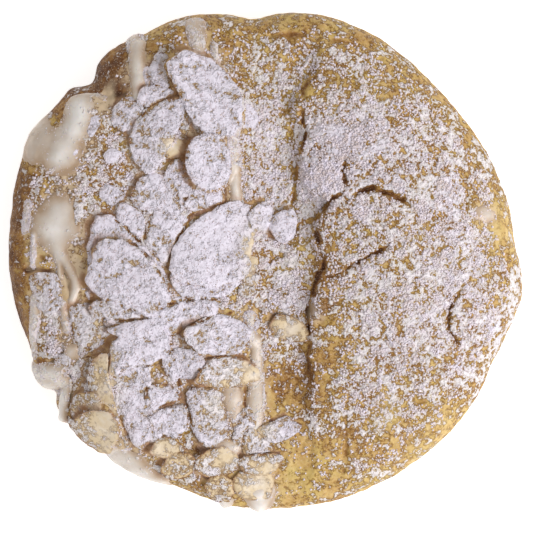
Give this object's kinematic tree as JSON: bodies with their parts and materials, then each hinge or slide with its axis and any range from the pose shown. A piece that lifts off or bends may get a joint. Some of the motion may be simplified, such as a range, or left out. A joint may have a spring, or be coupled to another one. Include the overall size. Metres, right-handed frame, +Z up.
{
  "type": "round almond croissant",
  "caption": "Round flat pastry with a folded golden crust, poured white icing and a heap of flaked almonds over one half, dusted with fine sugar.",
  "frame": {"origin": "middle of the flat base that the pastry rests on", "axes": "+Z up out of the top, +Y towards the top of the picture, +X towards the picture's right, bare side"},
  "size_m": [0.1198, 0.1172, 0.0245],
  "materials": {
    "baked_crust": "golden brown baked dough, matte, under a loose dusting of fine white sugar",
    "white_icing": "set white sugar icing, smooth and softly glossy, thin enough for the crust to tint it",
    "flaked_almond": "pale toasted almond flakes, matte, thickly dusted with fine white sugar"
  },
  "bodies": {
    "root": {"pastry": "baked_crust"}
  },
  "joints": []
}
